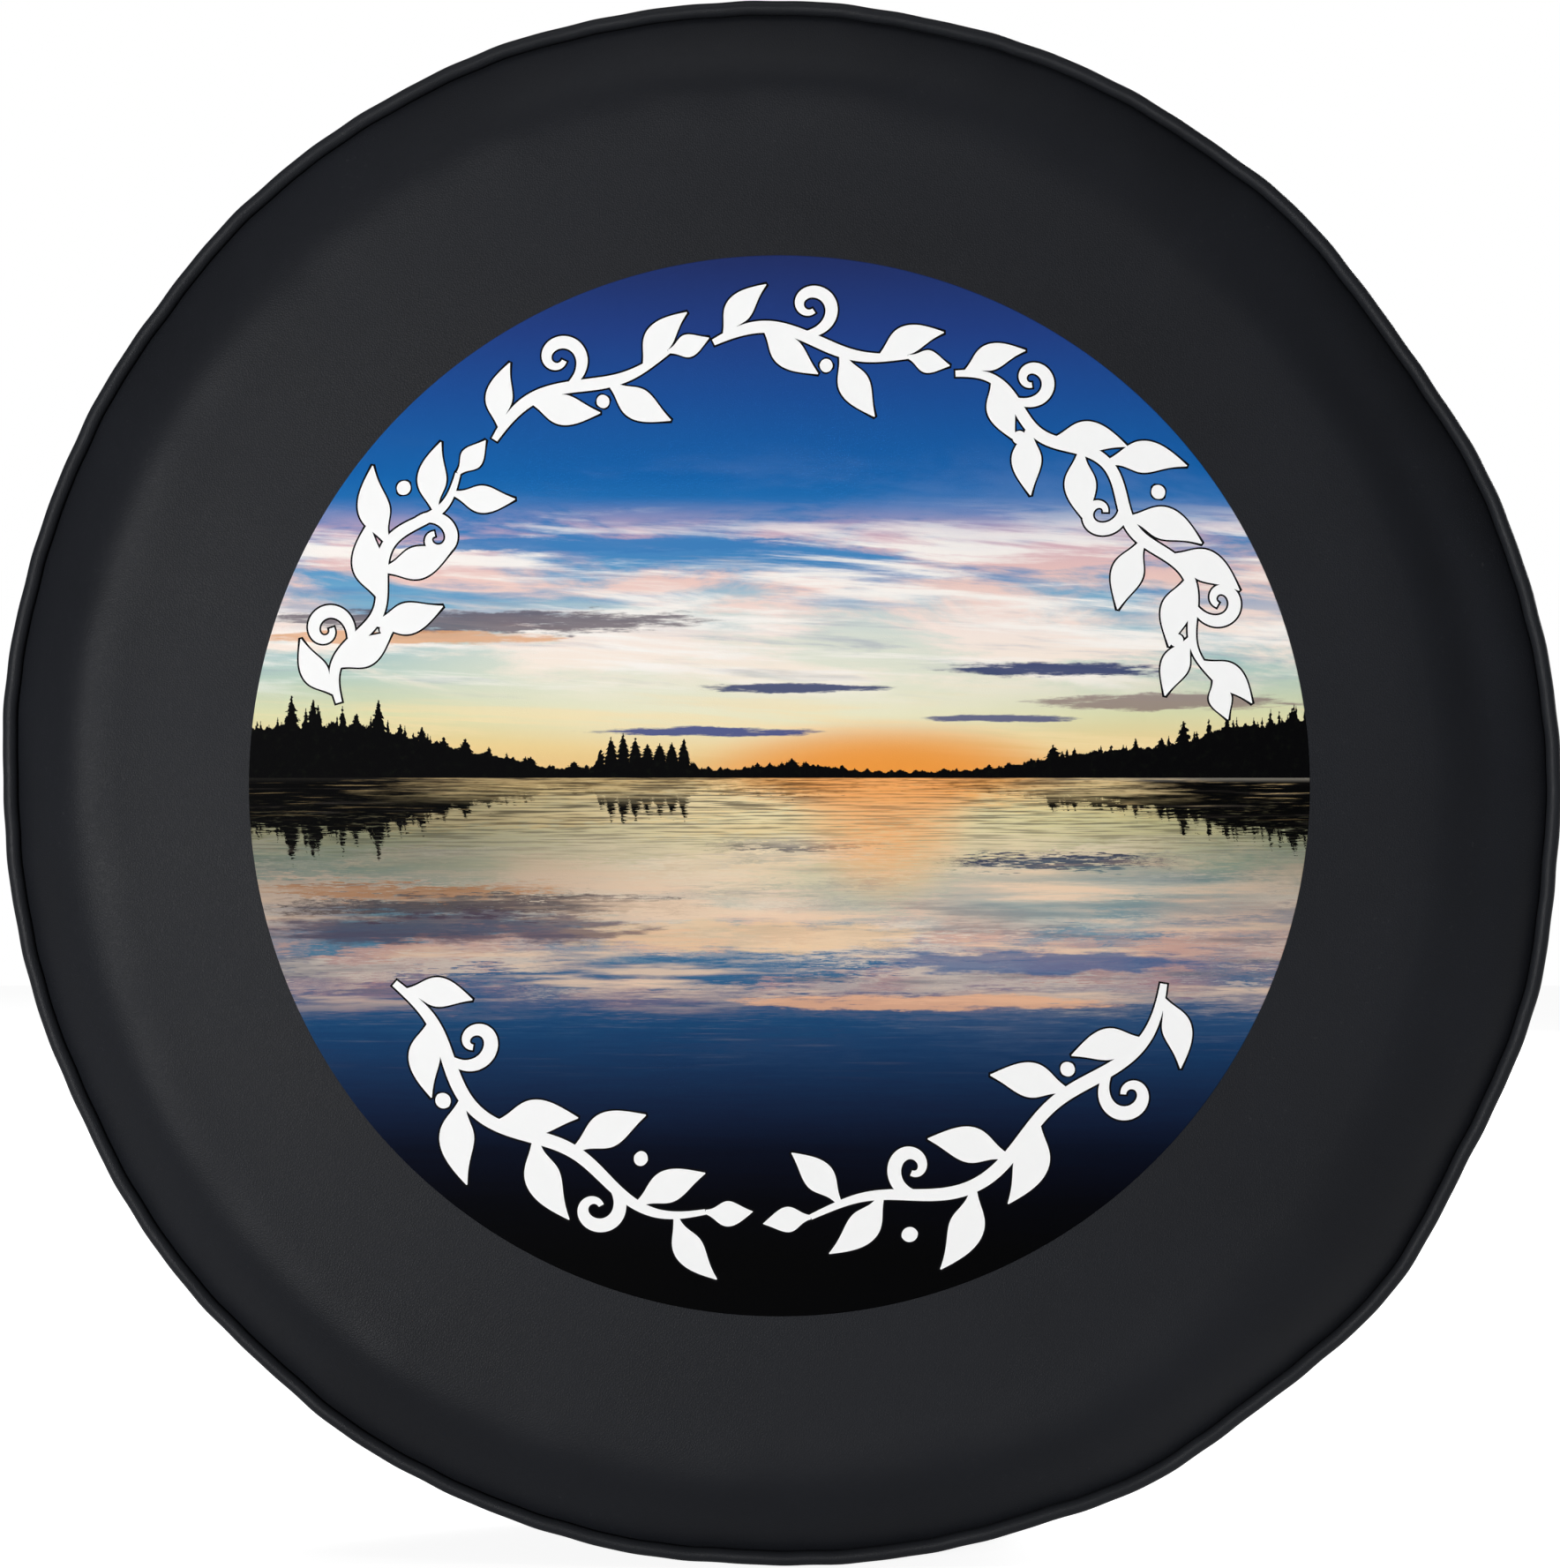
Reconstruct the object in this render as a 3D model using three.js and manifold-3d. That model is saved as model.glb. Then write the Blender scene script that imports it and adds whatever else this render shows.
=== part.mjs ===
// A soft spare-tyre cover, stretched as it sits on its tyre: a round vinyl face with a printed scene,
// a welted edge, a tread band sewn from two strips, and a rear hem drawn in by an elastic ring.
// Millimetres. +Z is up, the wheel's axis is Y, and the printed face looks along -Y.
// The origin is the middle of the tyre that the cover holds.
import * as THREE from "three";
import { mergeVertices } from "three/addons/utils/BufferGeometryUtils.js";
import Module from "manifold-3d";

const wasm = await Module();
wasm.setup();

// ---- Driving dimensions ----

const tyreRadius = 372; // half of a 225/75 R16 tyre's 744 mm
const tyreWidth = 225; // that tyre's section width
const seatEase = 2; // band's inside radius over the tyre's
const sideEase = 1.5; // room between each sidewall and the cover

const vinyl = 0.8; // coated fabric, 32 thousandths of an inch
const gap = 0.3; // running room between pieces that lie on each other
const printFilm = 0.2; // thickness of the printed film

const shoulderRun = 58; // radial width over which the face falls away to the welt
const shoulderDrop = 26; // how far back the face has fallen at the welt
const edgeSlope = 48; // degrees, the face's slope where it meets the welt
const printMargin = 59; // flat vinyl left between the print and the shoulder

const cordRadius = 2.4; // filler cord inside the welt
const seamAllowance = 10; // width of the edges tucked inside every seam
const cornerRadius = 0.8; // middle of the vinyl where it turns in at the welt
const throatAngle = 135; // degrees, the way the tucked edges leave the welt
const tuckRadius = 3; // bend of the tucked edges towards the band

const returnReach = 102; // how far the rear hem's mouth is inside the tyre's radius
const rearDrop = 44; // axial length of the curve over the rear shoulder
const elasticWidth = 12;
const elasticThickness = 1.5;
const hemTurnIn = 6; // flat raw edge behind the hem's stitches
const tunnelSlack = 1.5; // room in the hem tunnel beyond the elastic's width

const threadRadius = 0.35;
const topstitchInset = 4; // from a cross seam to the row of stitches beside it
const stitchBack = 3; // from the welt's throat to the seam's stitches

const ringSegments = 48;
const shoulderFacets = 8;
const threadSides = 6;

// ---- Derived places ----

const pitch = vinyl + gap; // from one layer's middle to the next
const bandRadius = tyreRadius + seatEase + vinyl / 2;
const faceY = -(tyreWidth / 2 + sideEase + vinyl / 2);
const tunnelPitch = elasticThickness + 2 * gap + vinyl;
const rearY = tyreWidth / 2 + sideEase + vinyl / 2 + tunnelPitch;
const hemMouth = tyreRadius - returnReach;
const skinRadius = cordRadius + gap + vinyl / 2;

const radians = THREE.MathUtils.degToRad;
const heading = (degrees) => new THREE.Vector2(Math.cos(radians(degrees)), Math.sin(radians(degrees)));
const leftOf = (direction) => new THREE.Vector2(-direction.y, direction.x);

// ---- Paths in the section plane: x is the radius and y is the place along the wheel's axis ----

// Draws the middle of a sheet as a pen moves: straight runs, and turns of one radius.
class Pen {
  constructor(start, degrees) {
    this.points = [start.clone()];
    this.degrees = degrees;
  }

  get tip() {
    return this.points.at(-1);
  }

  run(length) {
    this.points.push(this.tip.clone().addScaledVector(heading(this.degrees), length));
    return this;
  }

  // Turns by degrees, positive to the left, about a centre that is radius away on that side.
  turn(degrees, radius, largestStep = 45) {
    const side = Math.sign(degrees);
    const centre = this.tip.clone().addScaledVector(leftOf(heading(this.degrees)), side * radius);
    const steps = Math.ceil(Math.abs(degrees) / largestStep);
    for (let i = 1; i <= steps; i++) {
      const outward = leftOf(heading(this.degrees + (degrees * i) / steps));
      this.points.push(centre.clone().addScaledVector(outward, -side * radius));
    }
    this.degrees += degrees;
    return this;
  }

  follow(curve, divisions) {
    this.points.push(...curve.getPoints(divisions).slice(1));
    return this;
  }
}

// The path moved sideways by a distance, positive to the left, with mitred corners.
function offset(points, distance) {
  return points.map((point, i) => {
    const before = i > 0 ? point.clone().sub(points[i - 1]).normalize() : null;
    const after = i < points.length - 1 ? points[i + 1].clone().sub(point).normalize() : null;
    const along = (before ?? after).clone().add(after ?? before).normalize();
    const mitre = 1 / along.dot(after ?? before);
    return point.clone().addScaledVector(leftOf(along), distance * mitre);
  });
}

// The closed outline of a sheet of one thickness whose middle is the path.
function sheetOutline(path, thickness) {
  const outline = [...offset(path, thickness / 2), ...offset(path, -thickness / 2).reverse()];
  return [...outline, outline[0].clone()];
}

function circleOutline(centre, radius, sides) {
  const circle = new THREE.EllipseCurve(centre.x, centre.y, radius, radius, 0, 2 * Math.PI);
  const outline = circle.getPoints(sides);
  outline[sides] = outline[0].clone();
  return outline;
}

// ---- Solids ----

// Turns an outline about the wheel's axis, with the faces pointing out whichever way it was drawn.
function revolve(outline) {
  const outwards = THREE.ShapeUtils.area(outline) > 0 ? outline : [...outline].reverse();
  return new THREE.LatheGeometry(outwards, ringSegments);
}

const revolvedSheet = (path, thickness = vinyl) => revolve(sheetOutline(path, thickness));
const ringOfThread = (centre) => revolve(circleOutline(centre, threadRadius, threadSides));

function solidOf(geometry) {
  const bare = geometry.clone().deleteAttribute("normal").deleteAttribute("uv");
  const merged = mergeVertices(bare, 1e-4);
  const vertProperties = new Float32Array(merged.attributes.position.array);
  const triVerts = new Uint32Array(merged.index.array);
  return new wasm.Manifold(new wasm.Mesh({ numProp: 3, vertProperties, triVerts }));
}

function geometryOf(solid) {
  const mesh = solid.getMesh();
  return new THREE.BufferGeometry()
    .setAttribute("position", new THREE.BufferAttribute(mesh.vertProperties, 3))
    .setIndex(new THREE.BufferAttribute(mesh.triVerts, 1));
}

// A block between two distances from the plane of the cross seams, on the +X (1) or -X (-1) side.
function slab(side, near, far) {
  const reach = 4 * bandRadius;
  const block = new THREE.BoxGeometry(far - near, reach, reach);
  return solidOf(block.translate((side * (near + far)) / 2, 0, 0));
}

// ---- The seam at the welt: four layers, numbered from the face (0) to the band (3) ----

const outward = heading(throatAngle - 180); // the way the welt points, out and forward
const acrossSeam = heading(throatAngle - 90); // from the face's layer to the band's

// The band's corner turns until it runs straight back, which fixes how far the throat is inside it.
const bandCornerRise = cornerRadius * (1 + Math.cos(radians(180 - throatAngle)));
const throatRadius = bandRadius - bandCornerRise - 1.5 * pitch * acrossSeam.x;

// The face's corner turns from its slope to the throat's way, which fixes the throat's place along the axis.
const faceLayerFromThroat = acrossSeam.clone().multiplyScalar(-1.5 * pitch);
const faceCornerCentre = leftOf(heading(throatAngle)).multiplyScalar(cornerRadius).add(faceLayerFromThroat);
const faceEdgeFromThroat = faceCornerCentre.addScaledVector(leftOf(heading(edgeSlope)), -cornerRadius);
const throat = new THREE.Vector2(throatRadius, faceY + shoulderDrop - faceEdgeFromThroat.y);
const faceEdge = throat.clone().add(faceEdgeFromThroat);

const tuck = new Pen(throat, throatAngle)
  .run(gap + vinyl)
  .turn(90 - throatAngle, tuckRadius)
  .run(seamAllowance).points;
const layer = (number) => offset(tuck, (1.5 - number) * pitch);

// The welt stands clear of the corners that the face and the band turn beside it.
const cornerClear = skinRadius + vinyl / 2 + gap + cornerRadius + vinyl / 2;
const weltReach = Math.sqrt(cornerClear ** 2 - (1.5 * pitch + cornerRadius) ** 2);
const weltCentre = throat.clone().addScaledVector(outward, weltReach);

// ---- Sheets of vinyl ----

// The face: flat over the sidewall, falling away to its edge, then turned in at the welt.
const faceFlatRadius = faceEdge.x - shoulderRun;

function facePath() {
  const flatEnd = new THREE.Vector2(faceFlatRadius, faceY);
  const knee = new THREE.Vector2(faceEdge.x - shoulderDrop / Math.tan(radians(edgeSlope)), faceY);
  const panel = new Pen(new THREE.Vector2(0, faceY), 0)
    .run(faceFlatRadius)
    .follow(new THREE.QuadraticBezierCurve(flatEnd, knee, faceEdge), shoulderFacets);
  const corner = new Pen(faceEdge, edgeSlope).turn(throatAngle - edgeSlope, cornerRadius);
  return [...panel.points, ...corner.points.slice(1), ...layer(0).slice(1)];
}

// A section that starts on the axis is left open there, so that its solid is a disc and not a ring.
function discOutline(path) {
  const outline = sheetOutline(path, vinyl);
  outline.pop();
  const start = path.length;
  return [...outline.slice(start).reverse(), ...outline.slice(0, start).reverse()];
}

// The welt's skin: two tucked edges and the loop that they make round the filler cord.
function skinPath() {
  const pinch = Math.asin((0.5 * pitch) / skinRadius);
  const loop = new THREE.EllipseCurve(
    weltCentre.x,
    weltCentre.y,
    skinRadius,
    skinRadius,
    radians(throatAngle) + pinch,
    radians(throatAngle) - pinch + 2 * Math.PI,
  );
  return [...layer(1).reverse(), ...loop.getPoints(10), ...layer(2)];
}

// The band's middle length: over the tread, round the rear shoulder and in to the hem tunnel's stitches.
const tunnelTurn = tunnelPitch / 2;
const tunnelRun = elasticWidth + tunnelSlack;
const closingBend = 30; // degrees, where the tunnel's inner layer closes up to the outer
const closingRadius = 2;
const closingRise = tunnelPitch - pitch - 2 * closingRadius * (1 - Math.cos(radians(closingBend)));
const closingRun = closingRise / Math.sin(radians(closingBend));
const closingBends = 2 * closingRadius * Math.sin(radians(closingBend));
const closingLength = closingBends + closingRun * Math.cos(radians(closingBend));
const turnCentre = hemMouth + vinyl / 2 + tunnelTurn;
const hemStitch = turnCentre + tunnelRun + closingLength + hemTurnIn / 2;
const rearFlatStart = hemStitch + hemTurnIn / 2 + gap;
const treadFront = throat.y + seamAllowance + 2 * tuckRadius; // clear of the tucked edges
const rearShoulder = new THREE.EllipseCurve(
  rearFlatStart,
  rearY - rearDrop,
  bandRadius - rearFlatStart,
  rearDrop,
  0,
  Math.PI / 2,
);

function bandPath() {
  const front = new Pen(layer(3)[0], throatAngle - 180).turn(270 - throatAngle, cornerRadius);
  const back = new Pen(new THREE.Vector2(rearFlatStart, rearY), 180)
    .run(rearFlatStart - turnCentre)
    .turn(180, tunnelTurn)
    .run(tunnelRun)
    .turn(closingBend, closingRadius)
    .run(closingRun)
    .turn(-closingBend, closingRadius)
    .run(hemTurnIn);
  return [
    ...layer(3).reverse(),
    ...front.points.slice(1),
    ...rearShoulder.getPoints(shoulderFacets),
    ...back.points.slice(1),
  ];
}

function crossSeamPath(front, mouth) {
  const start = new THREE.Vector2(bandRadius, front);
  const end = new THREE.Vector2(mouth, rearY);
  return [start, ...rearShoulder.getPoints(shoulderFacets), end];
}

// One strip of the band. Its two ends are turned in along the cross seams, at the top and the bottom.
function bandStrip(side) {
  const near = gap / 2;
  const seam = crossSeamPath(treadFront, rearFlatStart - gap);
  const strip = solidOf(revolvedSheet(bandPath())).intersect(slab(side, near, 2 * bandRadius));
  const turnedIn = solidOf(revolvedSheet(offset(seam, pitch)));
  const fold = solidOf(revolvedSheet(offset(seam, pitch / 2), vinyl + pitch));
  const allowance = turnedIn.intersect(slab(side, near, near + seamAllowance));
  return geometryOf(strip.add(allowance).add(fold.intersect(slab(side, near, near + vinyl))));
}

// ---- Threads ----

const onSurface = vinyl / 2 + gap + threadRadius; // from a sheet's middle to a thread lying on it

// A row of topstitches along a cross seam, over the tread and the rear shoulder.
// side is 1 on +X and -1 on -X, and end is 1 at the top and -1 at the bottom.
function topstitch(side, end) {
  const seam = crossSeamPath(throat.y + cornerRadius, hemStitch + onSurface + threadRadius);
  const row = new THREE.Shape(sheetOutline(offset(seam, -onSurface), 2 * threadRadius));
  const standing = new THREE.ExtrudeGeometry(row, { depth: 2 * threadRadius, bevelEnabled: false })
    .translate(0, 0, -threadRadius)
    .rotateY(radians(-90 * end));
  return standing.translate(side * topstitchInset, 0, 0);
}

const seamThreadPlace = () => {
  const onFaceLayer = offset(tuck, 1.5 * pitch + onSurface);
  const along = onFaceLayer.at(-1).clone().sub(onFaceLayer.at(-2)).normalize();
  return onFaceLayer.at(-2).clone().addScaledVector(along, stitchBack);
};

// ---- Materials ----

const material = (color, roughness) => new THREE.MeshStandardMaterial({ color, roughness, metalness: 0 });
const blackVinyl = material(0x2a2b2e, 0.5);
const printInk = material(0x2f62a8, 0.45);
const cordFibre = material(0xcfc9bb, 0.9);
const elasticBraid = material(0x1c1c1e, 0.85);
const blackThread = material(0x151515, 0.7);

// ---- The cover ----

const cover = new THREE.Group();

function place(name, geometry, finish) {
  const mesh = new THREE.Mesh(geometry, finish);
  mesh.name = name;
  cover.add(mesh);
  return mesh;
}

place("face_panel", revolve(discOutline(facePath())), blackVinyl);

const printRadius = faceFlatRadius - printMargin;
const film = new THREE.CylinderGeometry(printRadius, printRadius, printFilm, ringSegments);
place("printed_film", film, printInk).position.y = faceY - vinyl / 2 - printFilm / 2;

place("welt_skin", revolvedSheet(skinPath()), blackVinyl);
place("welt_cord", revolve(circleOutline(weltCentre, cordRadius, 8)), cordFibre);
place("band_strip_right", bandStrip(1), blackVinyl);
place("band_strip_left", bandStrip(-1), blackVinyl);

const elasticY = rearY - tunnelPitch / 2;
const elasticPath = [turnCentre, turnCentre + elasticWidth].map((r) => new THREE.Vector2(r, elasticY));
place("hem_elastic", revolvedSheet(elasticPath, elasticThickness), elasticBraid);

place("welt_seam_thread", ringOfThread(seamThreadPlace()), blackThread);
place("hem_needle_thread", ringOfThread(new THREE.Vector2(hemStitch, rearY + onSurface)), blackThread);
const hemBobbinY = rearY - pitch - onSurface;
place("hem_bobbin_thread", ringOfThread(new THREE.Vector2(hemStitch, hemBobbinY)), blackThread);

for (const [endName, end] of [["top", 1], ["bottom", -1]]) {
  for (const [sideName, side] of [["right", 1], ["left", -1]]) {
    place(`${endName}_seam_thread_${sideName}`, topstitch(side, end), blackThread);
  }
}

export default cover;
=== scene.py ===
"""The finished look of a soft spare tyre cover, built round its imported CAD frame.

Metres, +Z up, and the printed face looks along -Y. Every cloth piece is drawn as a clean section, spun
about the wheel's axis, and then settled: one function moves the points of all pieces alike, from an even
stretch to how the cover really sits, so that seams, cord and stitches stay together.
"""

import math

import bmesh
import bpy
import numpy as np
from mathutils import Matrix, Vector


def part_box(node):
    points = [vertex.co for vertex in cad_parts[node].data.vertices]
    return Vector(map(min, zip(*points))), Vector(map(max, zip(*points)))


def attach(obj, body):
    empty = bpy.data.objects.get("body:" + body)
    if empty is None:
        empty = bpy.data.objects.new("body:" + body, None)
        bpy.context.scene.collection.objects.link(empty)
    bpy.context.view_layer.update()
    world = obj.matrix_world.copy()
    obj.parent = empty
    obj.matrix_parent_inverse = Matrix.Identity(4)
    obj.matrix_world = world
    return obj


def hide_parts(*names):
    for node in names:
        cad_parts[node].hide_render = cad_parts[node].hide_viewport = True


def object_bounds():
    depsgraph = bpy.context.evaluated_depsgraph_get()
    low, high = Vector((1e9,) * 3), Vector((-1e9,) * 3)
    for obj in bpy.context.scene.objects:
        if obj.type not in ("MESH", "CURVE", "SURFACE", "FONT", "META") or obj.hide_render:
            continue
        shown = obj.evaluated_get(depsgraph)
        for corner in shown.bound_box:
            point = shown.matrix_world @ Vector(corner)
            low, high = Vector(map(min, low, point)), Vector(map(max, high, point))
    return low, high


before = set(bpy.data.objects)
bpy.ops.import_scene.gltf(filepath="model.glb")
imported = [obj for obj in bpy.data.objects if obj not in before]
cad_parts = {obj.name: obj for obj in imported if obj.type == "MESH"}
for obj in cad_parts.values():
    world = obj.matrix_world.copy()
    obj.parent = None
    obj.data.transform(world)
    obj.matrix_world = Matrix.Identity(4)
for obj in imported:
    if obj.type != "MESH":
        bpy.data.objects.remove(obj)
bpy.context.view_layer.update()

# ---- sizes

VINYL = 0.0008
GAP = 0.0003
PITCH = VINYL + GAP
FILM = 0.0002
CORD_RADIUS = 0.0024
CORNER_RADIUS = 0.0008
TUCK_RADIUS = 0.003
SEAM_ALLOWANCE = 0.010
STITCH_BACK = 0.003
TOPSTITCH_INSET = 0.004
THREAD_RADIUS = 0.00035
STITCH_LENGTH = 0.0042

THROAT_ANGLE = 135.0
EDGE_SLOPE = 48.0
CLOSING_BEND = 30.0
CLOSING_RADIUS = 0.002
HEM_TURN_IN = 0.006

FULL_STEPS = 864


def middle_of(node, axis):
    low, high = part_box(node)
    return (low[axis] + high[axis]) / 2


face_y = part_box("face_panel")[0].y + VINYL / 2
print_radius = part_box("printed_film")[1].x
tread_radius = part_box("band_strip_right")[1].z - VINYL / 2
welt_centre = Vector((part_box("welt_cord")[1].x - CORD_RADIUS, middle_of("welt_cord", 1)))
elastic_y = middle_of("hem_elastic", 1)
elastic_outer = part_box("hem_elastic")[1].x
elastic_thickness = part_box("hem_elastic")[1].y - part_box("hem_elastic")[0].y
hem_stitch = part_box("hem_needle_thread")[1].x - THREAD_RADIUS
rear_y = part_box("band_strip_right")[1].y - VINYL / 2
shoulder_start = hem_stitch + HEM_TURN_IN / 2 + GAP
shoulder_front = rear_y - 0.044
tunnel_turn = rear_y - elastic_y
elastic_inner = elastic_outer - 0.012


# ---- sections: x is the radius, y the place along the axis


def heading(degrees):
    return Vector((math.cos(math.radians(degrees)), math.sin(math.radians(degrees))))


def left_of(direction):
    return Vector((-direction.y, direction.x))


def outward_at(bearing):
    """The way out from the wheel's axis, at a bearing in radians."""
    return Vector((math.cos(bearing), 0, math.sin(bearing)))


def round_at(bearing):
    """The way round the wheel, at a bearing in radians."""
    return Vector((-math.sin(bearing), 0, math.cos(bearing)))


class Pen:
    """Draws the middle of a sheet in straight runs and in turns of one radius."""

    def __init__(self, start, degrees):
        self.points = [Vector(start)]
        self.degrees = degrees

    def run(self, length, pieces=1):
        start = self.points[-1]
        for i in range(1, pieces + 1):
            self.points.append(start + heading(self.degrees) * length * i / pieces)
        return self

    def turn(self, degrees, radius, pieces=6):
        side = math.copysign(1, degrees)
        centre = self.points[-1] + left_of(heading(self.degrees)) * side * radius
        for i in range(1, pieces + 1):
            outward = left_of(heading(self.degrees + degrees * i / pieces))
            self.points.append(centre - outward * side * radius)
        self.degrees += degrees
        return self


def beside(points, distance):
    """The path moved sideways, positive to the left, with mitred corners."""
    moved = []
    for i, point in enumerate(points):
        before = (point - points[i - 1]).normalized() if i > 0 else None
        after = (points[i + 1] - point).normalized() if i < len(points) - 1 else None
        along = ((before or after) + (after or before)).normalized()
        moved.append(point + left_of(along) * distance / along.dot(after or before))
    return moved


def spread(start, end, pieces):
    return [start.lerp(end, i / pieces) for i in range(pieces + 1)]


skin_radius = CORD_RADIUS + GAP + VINYL / 2
corner_clear = skin_radius + VINYL / 2 + GAP + CORNER_RADIUS + VINYL / 2
welt_reach = math.sqrt(corner_clear**2 - (1.5 * PITCH + CORNER_RADIUS) ** 2)
throat = welt_centre - heading(THROAT_ANGLE - 180) * welt_reach
tuck = Pen(throat, THROAT_ANGLE).run(PITCH).turn(90 - THROAT_ANGLE, TUCK_RADIUS)
tuck = tuck.run(SEAM_ALLOWANCE, 4).points


def tucked(layer):
    """The middle of one of the four layers in the welt's seam, from the face (0) to the band (3)."""
    return beside(tuck, (1.5 - layer) * PITCH)


def face_section():
    corner_centre = tucked(0)[0] + left_of(heading(THROAT_ANGLE)) * CORNER_RADIUS
    edge = corner_centre - left_of(heading(EDGE_SLOPE)) * CORNER_RADIUS
    flat_end = Vector((edge.x - 0.058, face_y))
    knee = Vector((edge.x - (edge.y - face_y) / math.tan(math.radians(EDGE_SLOPE)), face_y))
    shares = [i / 22 for i in range(1, 23)]
    shoulder = [flat_end * (1 - t) ** 2 + knee * 2 * t * (1 - t) + edge * t**2 for t in shares]
    flat = spread(Vector((0, face_y)), flat_end, 26)
    corner = Pen(edge, EDGE_SLOPE).turn(THROAT_ANGLE - EDGE_SLOPE, CORNER_RADIUS).points
    return flat + shoulder + corner[1:] + tucked(0)[1:]


def welt_section():
    pinch = math.degrees(math.asin(PITCH / 2 / skin_radius))
    first, last = THROAT_ANGLE + pinch, THROAT_ANGLE - pinch + 360
    loop = [welt_centre + heading(first + (last - first) * i / 22) * skin_radius for i in range(23)]
    return tucked(1)[::-1] + loop + tucked(2)


def rear_shoulder(pieces=22):
    """A quarter of an ellipse, from the tread to the rear."""
    wide, deep = tread_radius - shoulder_start, rear_y - shoulder_front
    turns = [math.pi / 2 * i / pieces for i in range(pieces + 1)]
    return [Vector((shoulder_start + wide * math.cos(t), shoulder_front + deep * math.sin(t))) for t in turns]


def band_section():
    front = Pen(tucked(3)[0], THROAT_ANGLE - 180).turn(270 - THROAT_ANGLE, CORNER_RADIUS)
    tread = spread(front.points[-1], Vector((tread_radius, shoulder_front)), 14)
    turn_centre = elastic_inner
    rise = 2 * tunnel_turn - PITCH - 2 * CLOSING_RADIUS * (1 - math.cos(math.radians(CLOSING_BEND)))
    closing = rise / math.sin(math.radians(CLOSING_BEND))
    hem = Pen((shoulder_start, rear_y), 180).run(shoulder_start - turn_centre, 9).turn(180, tunnel_turn, 8)
    hem.run(0.0135, 4).turn(CLOSING_BEND, CLOSING_RADIUS, 2)
    hem.run(closing).turn(-CLOSING_BEND, CLOSING_RADIUS, 2)
    hem.run(HEM_TURN_IN, 3)
    return tucked(3)[::-1] + front.points[1:] + tread[1:] + rear_shoulder()[1:] + hem.points[1:]


# ---- how the stretched cover settles

# Where the tyre holds the welt out or lets it in: bearing and spread in degrees, and rise in metres.
EDGE_LOBES = (
    (14, 10, -0.0010),
    (35, 13, -0.0070),
    (57, 9, -0.0015),
    (120, 27, 0.0050),
    (180, 9, -0.0016),
    (203, 18, -0.0042),
    (228, 9, -0.0012),
    (268, 10, -0.0008),
    (298, 8, 0.0040),
    (319, 10, 0.0062),
    (343, 8, 0.0026),
)
# The face's shoulder is full all round, but for one slack stretch.
SHOULDER_FULLNESS = 0.0026
SHOULDER_SLACK = 0.0090
SLACK_BEARING = 12
FOLDS = 58
FOLD_HEIGHT = 0.0112


def ease(value, start, end):
    t = np.clip((value - start) / (end - start), 0, 1)
    return t * t * (3 - 2 * t)


def lobes(bearing):
    degrees = np.degrees(bearing)
    total = np.zeros_like(degrees)
    for middle, width, rise in EDGE_LOBES:
        away = (degrees - middle + 180) % 360 - 180
        total += rise * np.exp(-((away / width) ** 2))
    return total


def ripple(bearing, *waves):
    """A sum of waves round the wheel, each of a whole number of turns, a phase and a height."""
    return sum(height * np.sin(turns * bearing + phase) for turns, phase, height in waves)


def fold_height(bearing, radius):
    """Folds that the elastic gathers the rear into, growing from the shoulder to the hem."""
    drift = ripple(bearing, (3, 0.4, 1.9), (7, 2.0, 1.1), (13, 4.1, 0.7), (19, 1.2, 0.45))
    crest = 0.5 + 0.5 * np.sin(FOLDS * bearing + drift)
    start = 0.362 + ripple(bearing, (11, 0.9, 0.005), (17, 3.3, 0.005), (29, 0.2, 0.005))
    size = 0.86 + ripple(bearing, (5, 1.7, 0.09), (23, 0.5, 0.1), (31, 2.6, 0.08))
    return FOLD_HEIGHT * size * ease(-radius, -start, -elastic_inner) * crest**1.7


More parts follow.
